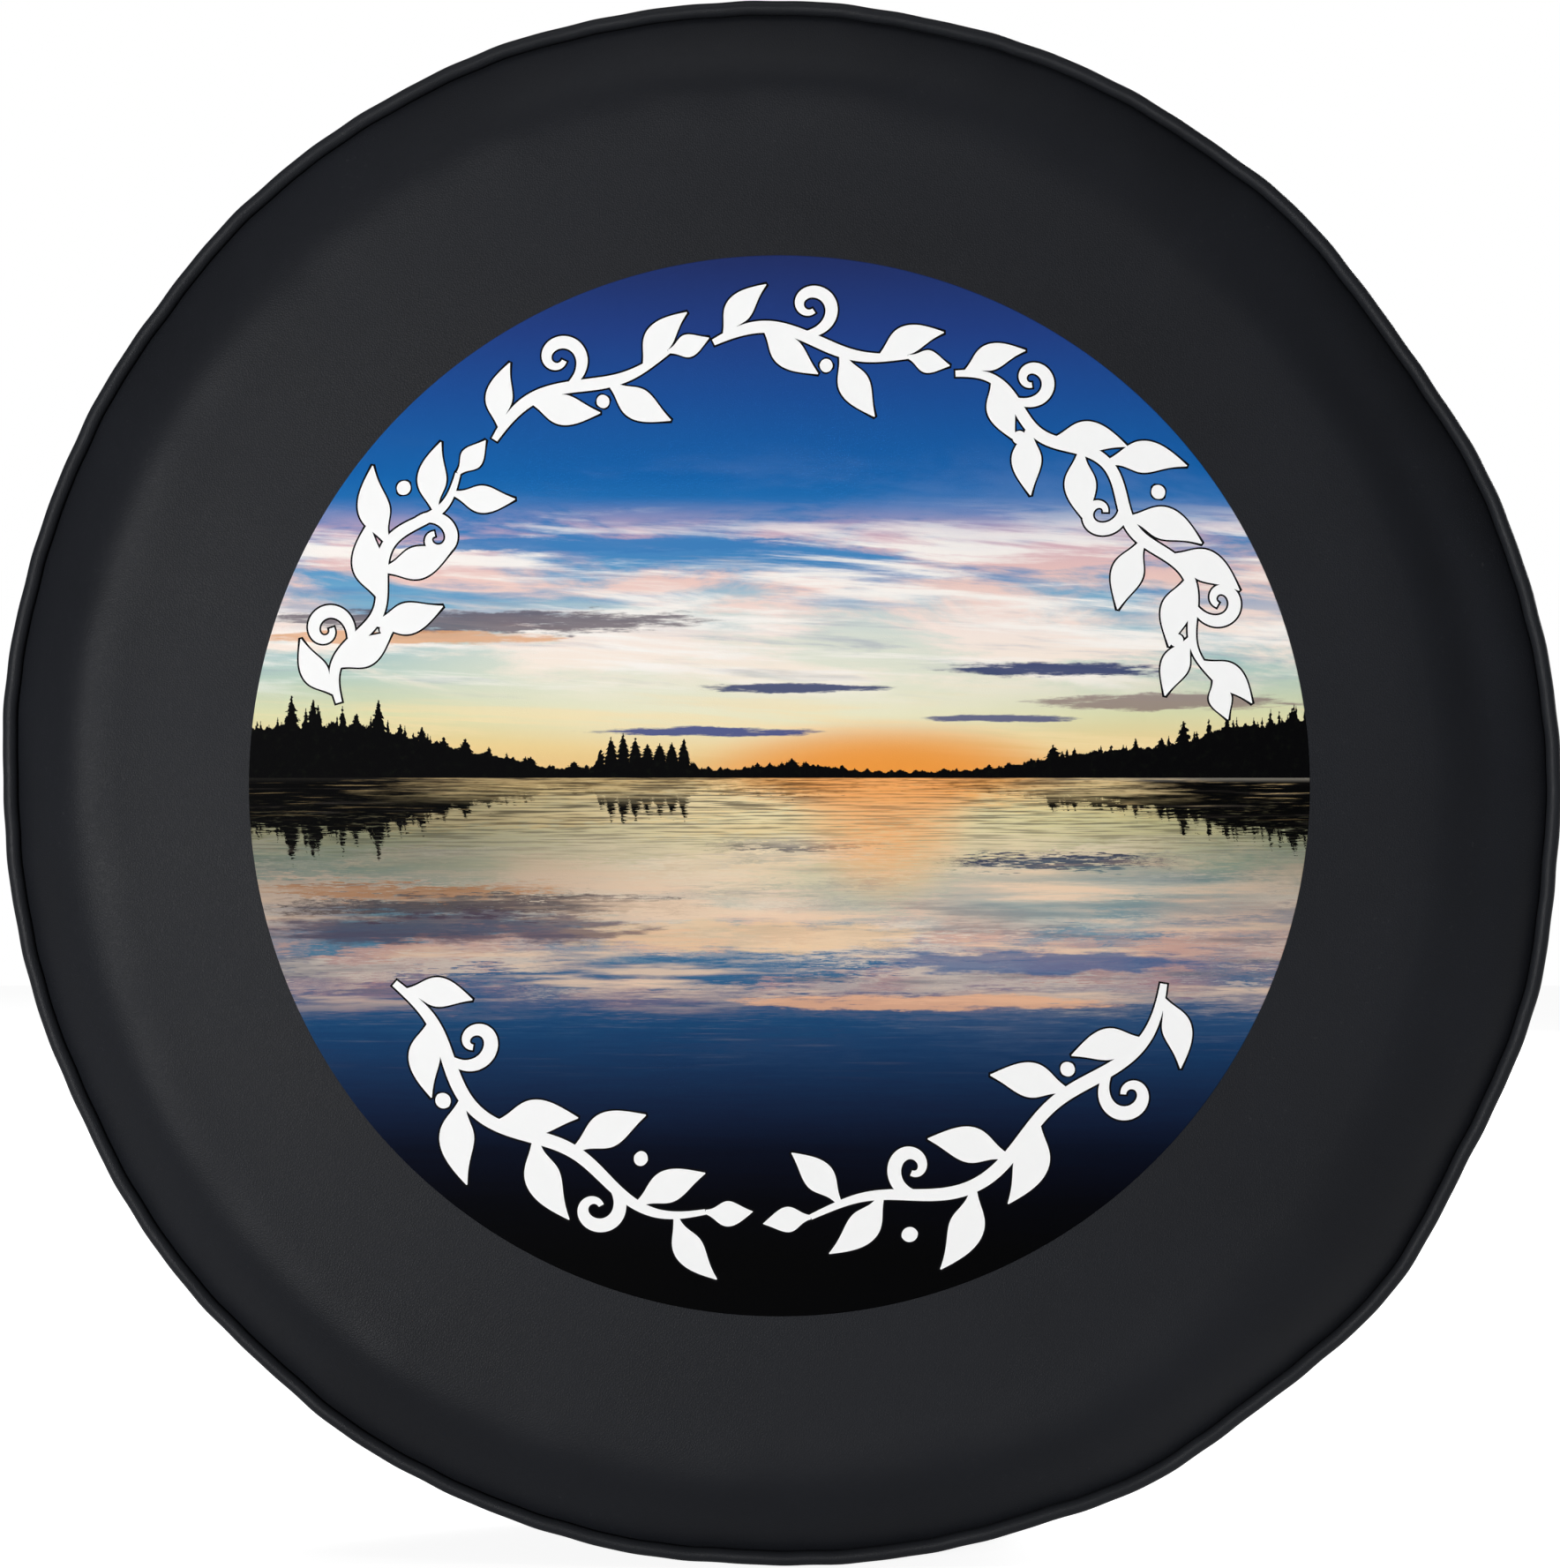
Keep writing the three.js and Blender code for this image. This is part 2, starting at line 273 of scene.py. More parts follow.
def settled(points):
    """Moves points of the evenly stretched cover to where they lie on the tyre."""
    x, y, z = points.T
    radius, bearing = np.hypot(x, z), np.arctan2(z, x)
    edge = ease(radius, 0.300, 0.368)
    near_welt = np.exp(-(((y - welt_centre.y) / 0.014) ** 2)) * ease(radius, 0.345, 0.366)
    seam_wave = ripple(bearing, (17, 0.3, 0.0003), (29, 1.9, 0.00016), (61, 4.0, 0.00012), (97, 2.2, 0.0001))
    seam_lift = ripple(bearing, (9, 0.7, 0.0005), (21, 2.9, 0.0003), (43, 1.1, 0.0002))
    outward = edge * lobes(bearing) + near_welt * seam_wave
    forward = near_welt * seam_lift

    # the face's shoulder stands fuller or hollower from place to place between the flat and the welt
    on_shoulder = np.exp(-(((radius - 0.340) / 0.017) ** 2)) * (y < welt_centre.y + 0.004)
    from_slack = (np.degrees(bearing) - SLACK_BEARING + 180) % 360 - 180
    fullness = SHOULDER_FULLNESS - SHOULDER_SLACK * np.exp(-((from_slack / 38) ** 2))
    pull = ripple(bearing, (5, 0.2, 0.0005), (12, 2.4, 0.0004), (26, 0.8, 0.00025), (47, 3.1, 0.00012))
    forward = forward + on_shoulder * (fullness + pull)

    # the seams pucker a little beside the welt
    off_seam = y - welt_centre.y - 0.004
    pucker = np.exp(-((off_seam / 0.016) ** 2)) * (off_seam > 0) * (radius > tread_radius - 0.0005)
    outward = outward + pucker * ripple(bearing, (150, 0.5, 0.00022), (113, 2.2, 0.0002), (71, 1.3, 0.00022))

    # the tread shows a little of the tyre's blocks
    on_tread = ease(y, -0.070, -0.045) * (1 - ease(y, 0.060, 0.085)) * (radius > 0.36)
    outward = outward + on_tread * ripple(bearing, (64, 0.0, 0.00022), (8, 1.0, 0.0004), (19, 2.0, 0.0003))
    outward = outward - on_tread * 0.0012 * (1 - ((y - 0.005) / 0.075) ** 2)

    # the rear is gathered, along the way that the shoulder faces
    across = np.clip((radius - shoulder_start) / (tread_radius - shoulder_start) ** 2, 0, None)
    back = np.clip((y - shoulder_front) / (rear_y - shoulder_front) ** 2, 0, None)
    back = np.where(radius <= shoulder_start, 1.0, back)
    long = np.hypot(across, back) + 1e-9
    fold = fold_height(bearing, radius) * ease(y, 0.060, 0.090)
    hem = ease(-radius, -0.315, -0.275) * ease(y, 0.100, 0.112)
    outward = outward + fold * across / long
    gathers = ripple(bearing, (FOLDS, 1.0, 0.0013), (FOLDS // 2, 0.3, 0.0008), (7, 0.5, 0.0012))
    outward = outward + hem * gathers
    backward = fold * back / long
    new_radius = radius + outward
    scale = new_radius / np.maximum(radius, 1e-9)
    return np.stack([x * scale, y - forward + backward, z * scale], axis=1)


# ---- making meshes


def finished(name, bm, materials, replaced, smooth=True, settle=True):
    """Turns a bmesh into a piece of the cover, settled in its place."""
    mesh = bpy.data.meshes.new(name)
    bm.to_mesh(mesh)
    bm.free()
    if settle:
        points = np.empty(len(mesh.vertices) * 3, np.float32)
        mesh.vertices.foreach_get("co", points)
        moved = settled(points.reshape(-1, 3).astype(float))
        mesh.vertices.foreach_set("co", moved.astype(np.float32).ravel())
        mesh.update()
    mesh.polygons.foreach_set("use_smooth", [smooth] * len(mesh.polygons))
    for material in materials:
        mesh.materials.append(material)
    piece = bpy.data.objects.new(name, mesh)
    bpy.context.scene.collection.objects.link(piece)
    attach(piece, "root")
    if replaced:
        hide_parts(*replaced)
    return piece


def spun(section, steps=FULL_STEPS, start=0.0, turn=360.0, closed=False):
    """A section spun about the wheel's axis by sectors. Bearings are in degrees from +X towards +Z."""
    sectors = 24
    bm = bmesh.new()
    first = Matrix.Rotation(math.radians(start), 4, (0, -1, 0))
    verts = [bm.verts.new(first @ Vector((p.x, p.y, 0))) for p in section]
    edges = [bm.edges.new(pair) for pair in zip(verts, verts[1:])]
    if closed:
        edges.append(bm.edges.new((verts[-1], verts[0])))
    sector = math.radians(turn) / sectors
    each = steps // sectors
    bmesh.ops.spin(bm, geom=verts + edges, cent=(0, 0, 0), axis=(0, -1, 0), angle=sector, steps=each)
    slice_mesh = bpy.data.meshes.new("slice")
    bm.to_mesh(slice_mesh)
    for i in range(1, sectors):
        turned = slice_mesh.copy()
        turned.transform(Matrix.Rotation(sector * i, 4, (0, -1, 0)))
        bm.from_mesh(turned)
        bpy.data.meshes.remove(turned)
    bpy.data.meshes.remove(slice_mesh)
    bmesh.ops.remove_doubles(bm, verts=bm.verts, dist=5e-6)
    return bm


def face_outwards(bm, probe, way):
    """Makes the faces agree, and point as the one nearest to the probe should."""
    bmesh.ops.recalc_face_normals(bm, faces=bm.faces)
    nearest = min(bm.faces, key=lambda f: (f.calc_center_median() - probe).length_squared)
    if nearest.normal.dot(way) < 0:
        bmesh.ops.reverse_faces(bm, faces=bm.faces)


def thicken(piece, thickness):
    """Gives a sheet its thickness, with its second material on the inner side."""
    solidify = piece.modifiers.new("thickness", "SOLIDIFY")
    solidify.thickness = thickness
    solidify.offset = 0
    solidify.material_offset = 1
    return piece


# ---- materials


def ink(code):
    """A printer's colour code as linear red, green, blue and alpha."""
    parts = [int(code[i : i + 2], 16) / 255 for i in (1, 3, 5)]
    return (*[p / 12.92 if p <= 0.04045 else ((p + 0.055) / 1.055) ** 2.4 for p in parts], 1.0)


class Wiring:
    """Adds nodes to one tree. A socket takes a number, a colour, its code or another node's output."""

    def __init__(self, tree):
        self.tree = tree

    def add(self, kind, sockets=(), **settings):
        node = self.tree.nodes.new(kind)
        for name, value in settings.items():
            setattr(node, name, value)
        for key, value in dict(sockets).items():
            if isinstance(value, bpy.types.NodeSocket):
                self.tree.links.new(value, node.inputs[key])
            else:
                node.inputs[key].default_value = ink(value) if isinstance(value, str) else value
        return node

    def join(self, output, socket):
        self.tree.links.new(output, socket)

    def times(self, product, *others):
        for other in others:
            product = self.maths("MULTIPLY", product, other)
        return product

    def maths(self, operation, *values, clamp=False):
        return self.add("ShaderNodeMath", enumerate(values), operation=operation, use_clamp=clamp).outputs[0]

    def between(self, value, low, high, out_low=0.0, out_high=1.0, smooth=True):
        sockets = {"Value": value, "From Min": low, "From Max": high, "To Min": out_low, "To Max": out_high}
        kind = "SMOOTHSTEP" if smooth else "LINEAR"
        return self.add("ShaderNodeMapRange", sockets, interpolation_type=kind).outputs[0]

    def point(self, x=0.0, y=0.0, z=0.0):
        return self.add("ShaderNodeCombineXYZ", {"X": x, "Y": y, "Z": z}).outputs[0]

    def noise(self, vector, scale, detail=3.0, roughness=0.55, distortion=0.0):
        sockets = {"Vector": vector, "Scale": scale, "Detail": detail, "Roughness": roughness}
        sockets["Distortion"] = distortion
        return self.add("ShaderNodeTexNoise", sockets).outputs["Fac"]

    def mixed(self, factor, first, second, way="MIX"):
        node = self.add("ShaderNodeMix", {0: factor, 6: first, 7: second}, data_type="RGBA", blend_type=way)
        return node.outputs[2]

    def ramp(self, factor, stops):
        node = self.add("ShaderNodeValToRGB", {"Fac": factor})
        elements = node.color_ramp.elements
        while len(elements) < len(stops):
            elements.new(1.0)
        for element, (position, colour) in zip(elements, stops):
            element.position = position
            element.color = ink(colour)
        return node.outputs[0]

    def use(self, group, **sockets):
        node = self.add("ShaderNodeGroup", node_tree=group)
        for name, value in sockets.items():
            key = name.replace("_", " ")
            if isinstance(value, bpy.types.NodeSocket):
                self.tree.links.new(value, node.inputs[key])
            else:
                node.inputs[key].default_value = value
        return node.outputs


def new_group(name, inputs, outputs):
    """A node group with named sockets: its wiring, and what comes in by name."""
    tree = bpy.data.node_groups.new(name, "ShaderNodeTree")
    for socket, (kind, value) in inputs.items():
        made = tree.interface.new_socket(socket, in_out="INPUT", socket_type=kind)
        if value is not None:
            made.default_value = value
    for socket, kind in outputs.items():
        tree.interface.new_socket(socket, in_out="OUTPUT", socket_type=kind)
    wiring = Wiring(tree)
    return wiring, tree.nodes.new("NodeGroupInput").outputs, tree.nodes.new("NodeGroupOutput").inputs


NUMBER, VECTOR, COLOUR = "NodeSocketFloat", "NodeSocketVector", "NodeSocketColor"


def make_grain():
    """Fine leather-like grain pressed into a coated fabric, with slow mottling."""
    inputs = {"Place": (VECTOR, None), "Grains per metre": (NUMBER, 900.0)}
    wiring, come, go = new_group("pressed_grain", inputs, {"Height": NUMBER, "Mottle": NUMBER})
    cells = wiring.add(
        "ShaderNodeTexVoronoi",
        {"Vector": come["Place"], "Scale": come["Grains per metre"], "Randomness": 1.0},
        feature="DISTANCE_TO_EDGE",
    ).outputs["Distance"]
    pebbles = wiring.between(cells, 0.0, 0.28)
    fine = wiring.noise(come["Place"], 2600.0, 2.0)
    height = wiring.maths("ADD", wiring.times(pebbles, 0.7), wiring.times(fine, 0.3))
    wiring.join(height, go["Height"])
    wiring.join(wiring.noise(come["Place"], 7.0, 4.0, 0.6), go["Mottle"])
    return wiring.tree


def make_dust():
    """Faint dust and rub marks that settle unevenly."""
    wiring, come, go = new_group("dust", {"Place": (VECTOR, None)}, {"Mask": NUMBER})
    cloud = wiring.between(wiring.noise(come["Place"], 14.0, 6.0, 0.65), 0.5, 0.8)
    specks = wiring.between(wiring.noise(come["Place"], 420.0, 2.0, 0.6), 0.62, 0.8)
    wiring.join(wiring.times(cloud, specks), go["Mask"])
    return wiring.tree


def make_threads():
    """Crossing threads, for knit backing, braid and twisted yarn."""
    inputs = {"Place": (VECTOR, None), "Threads per metre": (NUMBER, 1100.0)}
    wiring, come, go = new_group("crossing_threads", inputs, {"Height": NUMBER})
    waves = []
    for direction in ("X", "Y", "Z"):
        sockets = {"Vector": come["Place"], "Scale": come["Threads per metre"]}
        sockets |= {"Distortion": 1.2, "Detail": 1.0}
        waves.append(wiring.add("ShaderNodeTexWave", sockets, bands_direction=direction).outputs["Fac"])
    crossed = wiring.maths("MAXIMUM", wiring.times(waves[0], waves[2]), waves[1])
    wiring.join(crossed, go["Height"])
    return wiring.tree


def shaded(name, roughness, specular, sheen=0.0):
    """An empty material: its wiring, its Principled shader and its Object coordinates."""
    material = bpy.data.materials.new(name)
    material.use_nodes = True
    wiring = Wiring(material.node_tree)
    shader = material.node_tree.nodes["Principled BSDF"]
    shader.inputs["Roughness"].default_value = roughness
    shader.inputs["Specular IOR Level"].default_value = specular
    shader.inputs["Sheen Weight"].default_value = sheen
    place = wiring.add("ShaderNodeTexCoord").outputs["Object"]
    return material, wiring, shader, place


def bump(wiring, shader, height, distance, strength=1.0):
    node = wiring.add("ShaderNodeBump", {"Height": height, "Distance": distance, "Strength": strength})
    wiring.join(node.outputs[0], shader.inputs["Normal"])


def vinyl_material(name, deep, pale, gloss):
    material, wiring, shader, place = shaded(name, 0.43, gloss)
    grain = wiring.use(pressed_grain, Place=place)
    mottled = wiring.mixed(grain["Mottle"], deep, pale)
    dusty = wiring.mixed(wiring.times(wiring.use(dust, Place=place)["Mask"], 0.25), mottled, "#6c6c6c")
    wiring.join(dusty, shader.inputs["Base Color"])
    roughness = wiring.between(grain["Mottle"], 0.3, 0.7, 0.41, 0.46)
    wiring.join(roughness, shader.inputs["Roughness"])
    bump(wiring, shader, grain["Height"], 0.00012, 0.55)
    return material


def threaded_material(name, roughness, specular, sheen, deep, pale, depth, per_metre):
    material, wiring, shader, place = shaded(name, roughness, specular, sheen)
    threads = wiring.use(crossing_threads, Place=place, Threads_per_metre=per_metre)["Height"]
    wiring.join(wiring.mixed(threads, deep, pale), shader.inputs["Base Color"])
    bump(wiring, shader, threads, depth)
    return material


def cord_material():
    material, wiring, shader, place = shaded("filler_cord", 0.9, 0.15, 0.3)
    fibres = wiring.noise(place, 1800.0, 4.0, 0.7)
    wiring.join(wiring.mixed(fibres, "#b9b09c", "#e2dccd"), shader.inputs["Base Color"])
    bump(wiring, shader, fibres, 0.0003)
    return material


# ---- the printed picture: a lake at dusk

WATERLINE = 0.015  # of the print's radius, above its middle
# Height of the wooded shore from the left edge (0) to the right (1). A quarter of the picture's radius is 1.
SHORE = (
    (0.0, 0.50), (0.07, 0.58), (0.15, 0.44), (0.24, 0.22), (0.32, 0.09), (0.335, 0.36),
    (0.375, 0.42), (0.415, 0.32), (0.43, 0.08), (0.52, 0.13), (0.6, 0.05), (0.7, 0.1),
    (0.78, 0.26), (0.86, 0.34), (0.94, 0.56), (1.0, 0.62),
)  # fmt: skip
HEADLAND = -0.25  # middle of the tall clump of spruces, as a share of the picture's radius
GLOW = 0.2  # where the sun has gone down
# Long clouds: middle, half size, colour, strength and seed, over the shore and then on the water.
SKY_DRIFTS = (
    ((-0.35, 0.440), (0.45, 0.016), "#3d7fbc", 0.9, 20.6),
    ((-0.58, 0.295), (0.45, 0.026), "#5d5260", 0.85, 1.3),
    ((-0.70, 0.264), (0.32, 0.015), "#e3a777", 0.8, 2.9),
    ((0.52, 0.205), (0.24, 0.017), "#2f3d6d", 0.95, 4.1),
    ((0.02, 0.168), (0.20, 0.010), "#3c4872", 0.95, 5.8),
    ((0.42, 0.112), (0.16, 0.008), "#4a5080", 0.9, 7.7),
    ((-0.14, 0.088), (0.24, 0.010), "#43508a", 0.95, 9.2),
    ((0.72, 0.145), (0.28, 0.020), "#80636a", 0.75, 15.9),
)
WATER_DRIFTS = (
    ((-0.06, 0.300), (0.40, 0.034), "#f4cfa2", 0.65, 31.0),
    ((-0.62, 0.285), (0.42, 0.036), "#57485c", 0.70, 33.2),
    ((0.50, 0.350), (0.36, 0.028), "#2c5c90", 0.75, 35.1),
    ((0.26, 0.425), (0.40, 0.016), "#edb48c", 0.75, 37.4),
)


def make_conifers():
    """A row of spruces standing side by side, as a mask."""
    inputs = {"Across": (NUMBER, 0.0), "Up": (NUMBER, 0.0), "Spacing": (NUMBER, 0.02)}
    inputs |= {"Tallest": (NUMBER, 0.06), "Evenness": (NUMBER, 1.0), "Seed": (NUMBER, 0.0)}
    wiring, come, go = new_group("conifers", inputs, {"Mask": NUMBER})
    maths, times = wiring.maths, wiring.times
    along = maths("ADD", maths("DIVIDE", come["Across"], come["Spacing"]), times(come["Seed"], 7.31))
    plot = maths("ADD", maths("FLOOR", along), come["Seed"])
    chance = wiring.add("ShaderNodeTexWhiteNoise", {"W": plot}, noise_dimensions="1D").outputs["Value"]
    share_of_tallest = maths("MULTIPLY_ADD", maths("POWER", chance, come["Evenness"]), 0.62, 0.38)
    tall = times(come["Tallest"], share_of_tallest)
    off_trunk = times(maths("ABSOLUTE", maths("SUBTRACT", maths("FRACT", along), 0.5)), 2.0)
    share = maths("DIVIDE", come["Up"], maths("MAXIMUM", tall, 0.0001))
    boughs = maths("FRACT", times(maths("ADD", share, chance), 5.0))
    ragged = wiring.noise(wiring.point(come["Across"], come["Up"], come["Seed"]), 170.0, 3.0)
    taper = maths("POWER", maths("MAXIMUM", maths("SUBTRACT", 1.0, share), 0.0), 0.8)
    half_width = times(taper, maths("MULTIPLY_ADD", boughs, -0.55, 1.5))
    half_width = maths("ADD", half_width, times(maths("SUBTRACT", ragged, 0.55), 0.9))
    inside = maths("LESS_THAN", off_trunk, maths("MAXIMUM", half_width, 0.07))
    wiring.join(times(inside, maths("LESS_THAN", share, 1.0)), go["Mask"])
    return wiring.tree


def make_streaks():
    """Long thin clouds drawn out sideways, as how thick they are."""
    inputs = {"Across": (NUMBER, 0.0), "Up": (NUMBER, 0.0), "Stretch": (NUMBER, 5.0), "Size": (NUMBER, 2.0)}
    inputs |= {"Seed": (NUMBER, 0.0), "From": (NUMBER, 0.45), "To": (NUMBER, 0.65)}
    wiring, come, go = new_group("cloud_streaks", inputs, {"Thickness": NUMBER})
    maths, times = wiring.maths, wiring.times
    lean = maths("ADD", come["Up"], times(come["Across"], 0.05))
    at = wiring.point(come["Across"], times(lean, come["Stretch"]), come["Seed"])
    cloud = wiring.noise(at, come["Size"], 9.0, 0.62, 0.35)
    wiring.join(wiring.between(cloud, come["From"], come["To"]), go["Thickness"])
    return wiring.tree


def drift(wiring, across, up, centre, size, seed):
    """A long ragged cloud, 1 in its middle."""
    maths, times = wiring.maths, wiring.times
    wander = wiring.noise(wiring.point(times(across, 5.0), times(up, 9.0), seed), 1.0, 5.0, 0.7)
    fray = wiring.noise(wiring.point(times(across, 9.0), times(up, 90.0), seed), 1.0, 5.0, 0.7)
    lifted = maths("MULTIPLY_ADD", maths("SUBTRACT", wander, 0.5), 1.6 * size[1], up)
    dx = maths("DIVIDE", maths("SUBTRACT", across, centre[0]), size[0])
    dy = maths("DIVIDE", maths("SUBTRACT", lifted, centre[1]), size[1])
    far = maths("ADD", times(dx, dx), times(dy, dy))
    worn = maths("MULTIPLY_ADD", maths("SUBTRACT", fray, 0.5), -2.6, far)
    return wiring.between(worn, 0.95, 0.35)


def glow_patch(wiring, across, up, centre, size):
    """A soft oval, 1 in its middle."""
    dx = wiring.maths("DIVIDE", wiring.maths("SUBTRACT", across, centre[0]), size[0])
    dy = wiring.maths("DIVIDE", wiring.maths("SUBTRACT", up, centre[1]), size[1])
    far = wiring.maths("ADD", wiring.times(dx, dx), wiring.times(dy, dy))
    return wiring.between(far, 1.0, 0.0)


def make_sky():
    """The evening sky over the lake, from its height over the shore."""
    inputs = {"Across": (NUMBER, 0.0), "Up": (NUMBER, 0.0), "Drifts": (NUMBER, 1.0)}
    wiring, come, go = new_group("dusk_sky", inputs, {"Color": COLOUR})
    across, up = come["Across"], come["Up"]
    times = wiring.times
    clear = wiring.ramp(
        up,
        (
            (0.0, "#eec283"), (0.06, "#f0d496"), (0.12, "#dfdfb2"), (0.19, "#b9d0c2"),
            (0.28, "#93bfcf"), (0.38, "#5f9fcb"), (0.47, "#2a78ba"), (0.57, "#1462aa"),
            (0.72, "#1b4e96"), (0.84, "#213e82"), (0.98, "#212f64"),
        ),
    )

    def streaks(stretch, size, seed, start, end):
        sockets = {"Stretch": stretch, "Size": size, "Seed": seed, "From": start, "To": end}
        return wiring.use(cloud_streaks, Across=across, Up=up, **sockets)["Thickness"]

    haze = glow_patch(wiring, across, up, (-0.02, 0.21), (0.85, 0.19))
    colour = wiring.mixed(times(haze, 0.62), clear, "#fff6de")

    band = times(wiring.between(up, 0.12, 0.23), wiring.between(up, 0.535, 0.44))
    cloud_ink = wiring.ramp(
        up,
        (
            (0.12, "#fff3de"), (0.27, "#fbece2"), (0.38, "#efcac2"), (0.46, "#d3acbc"),
            (0.56, "#94a2cc"),
        ),
    )
    colour = wiring.mixed(times(streaks(5.0, 2.0, 3.7, 0.40, 0.55), band), colour, cloud_ink)
    gaps = times(streaks(10.0, 1.3, 21.4, 0.50, 0.62), times(band, wiring.between(up, 0.24, 0.38)))
    gap_ink = wiring.ramp(up, ((0.25, "#8db4c8"), (0.36, "#4d8fc4"), (0.5, "#2a74b8")))
    colour = wiring.mixed(times(gaps, 0.85), colour, gap_ink)
    grey = times(streaks(13.0, 2.6, 30.2, 0.52, 0.7), band)
    colour = wiring.mixed(times(grey, 0.5), colour, "#9aa3b8")
    wisps = times(streaks(13.0, 1.9, 9.1, 0.47, 0.64), times(wiring.between(up, 0.07, 0.18), band))
    colour = wiring.mixed(times(wisps, 0.92), colour, "#fffaf4")
    veil = times(wiring.between(up, 0.4, 0.48), wiring.between(up, 0.66, 0.5))
    lilac = times(streaks(4.0, 1.6, 14.2, 0.46, 0.7), veil)
    colour = wiring.mixed(times(lilac, 0.25), colour, "#8fa0cc")
    low_band = times(wiring.between(up, 0.02, 0.06), wiring.between(up, 0.2, 0.1))
    colour = wiring.mixed(times(streaks(16.0, 1.4, 41.0, 0.48, 0.64), low_band, 0.6), colour, "#fbe3b0")
    glow = glow_patch(wiring, across, up, (GLOW, 0.0), (0.42, 0.12))
    colour = wiring.mixed(times(glow, 0.95), colour, "#f2993c")

    for centre, size, tint, strength, seed in SKY_DRIFTS:
        mask = times(drift(wiring, across, up, centre, size, seed), come["Drifts"])
        colour = wiring.mixed(times(mask, strength), colour, tint)
    wiring.join(colour, go["Color"])
    return wiring.tree


def make_lake():
    """Sky and woods over the waterline, and both again in the water, broken by ripples."""
    inputs = {"Across": (NUMBER, 0.0), "Up": (NUMBER, 0.0)}
    wiring, come, go = new_group("lake_picture", inputs, {"Color": COLOUR})
    across, maths, times = come["Across"], wiring.maths, wiring.times
    over = maths("SUBTRACT", come["Up"], WATERLINE)
    water = maths("LESS_THAN", over, 0.0)
    depth = maths("MAXIMUM", times(over, -1.0), 0.0)
    swell = wiring.noise(wiring.point(times(across, 3.0), times(over, 46.0)), 2.0, 6.0, 0.65)
    chop = wiring.noise(wiring.point(times(across, 16.0), times(over, 190.0)), 2.0, 3.0)
    shake = times(maths("SUBTRACT", swell, 0.5), maths("MULTIPLY_ADD", depth, 0.30, 0.02))
    shake = maths("ADD", shake, times(maths("SUBTRACT", chop, 0.5), 0.07))
    sky_up = maths("ADD", maths("MAXIMUM", maths("MULTIPLY_ADD", depth, 1.08, shake), 0.0), 0.035)
    wood_up = maths("MAXIMUM", maths("MULTIPLY_ADD", depth, 0.98, shake), 0.0)
    dry_up = maths("MAXIMUM", over, 0.0)
    sky_up = maths("ADD", dry_up, times(water, sky_up))
    wood_up = maths("ADD", dry_up, times(water, wood_up))
    sway = times(water, times(maths("SUBTRACT", chop, 0.5), 0.02))
    beside_it = maths("ADD", across, sway)
    drifts = maths("MAXIMUM", maths("SUBTRACT", 1.0, water), wiring.between(depth, 0.10, 0.15))
    sky = wiring.use(dusk_sky, Across=beside_it, Up=sky_up, Drifts=drifts)["Color"]

    curve = wiring.add("ShaderNodeFloatCurve", {"Value": maths("MULTIPLY_ADD", beside_it, 0.5, 0.5)})
    points = curve.mapping.curves[0].points
    points[0].location, points[1].location = SHORE[0], SHORE[-1]
    for spot in SHORE[1:-1]:
        points.new(*spot)
    curve.mapping.update()
    shore = times(curve.outputs[0], 0.25)
    island = wiring.between(maths("ABSOLUTE", maths("SUBTRACT", beside_it, HEADLAND)), 0.11, 0.08)
    crowns = wiring.noise(wiring.point(times(beside_it, 30.0), times(wood_up, 14.0)), 2.0, 5.0, 0.7)
    canopy = times(shore, maths("MULTIPLY_ADD", island, -0.5, 0.70))
    rough = times(maths("SUBTRACT", crowns, 0.5), maths("MULTIPLY_ADD", shore, 0.3, 0.004))
    canopy = maths("ADD", canopy, rough)
    wood = maths("LESS_THAN", wood_up, canopy)
    standing = maths("SUBTRACT", wood_up, times(shore, 0.35))
    tallest = maths("MULTIPLY_ADD", shore, 0.72, 0.006)
    rows = ((0.023, 0.82, 0.9, 1.0), (0.016, 0.72, 0.8, 2.0), (0.041, 1.08, 1.6, 3.0))
    for spacing, share, evenness, seed in rows:
        trees = {"Spacing": spacing, "Tallest": times(tallest, share), "Evenness": evenness, "Seed": seed}
        row = wiring.use(conifers, Across=beside_it, Up=standing, **trees)
        thinned = maths("MULTIPLY_ADD", island, -0.8 if seed > 1 else 0.0, 1.0)
        wood = maths("MAXIMUM", wood, times(row["Mask"], maths("GREATER_THAN", thinned, 0.5)))
    leaf_light = wiring.noise(wiring.point(across, come["Up"]), 60.0, 5.0, 0.7)
    leaves = wiring.mixed(wiring.between(leaf_light, 0.5, 0.8), "#030304", "#0d100b")
    glint = wiring.between(maths("MULTIPLY_ADD", swell, 0.6, chop), 0.84, 1.04)
    glint = times(glint, water, wiring.between(depth, 0.02, 0.14, 0.0, 0.6))
    reach = maths("MULTIPLY_ADD", maths("SUBTRACT", swell, 0.5), 0.7, maths("ABSOLUTE", across))
    open_water = times(wiring.between(reach, 0.78, 0.6), wiring.between(chop, 0.3, 0.5, 0.45, 1.0))
    far_water = times(wiring.between(depth, 0.055, 0.02), water, open_water)
    glint = maths("MAXIMUM", glint, times(far_water, 0.8))
    shown = times(wood, maths("SUBTRACT", 1.0, glint))
    colour = wiring.mixed(shown, sky, leaves)

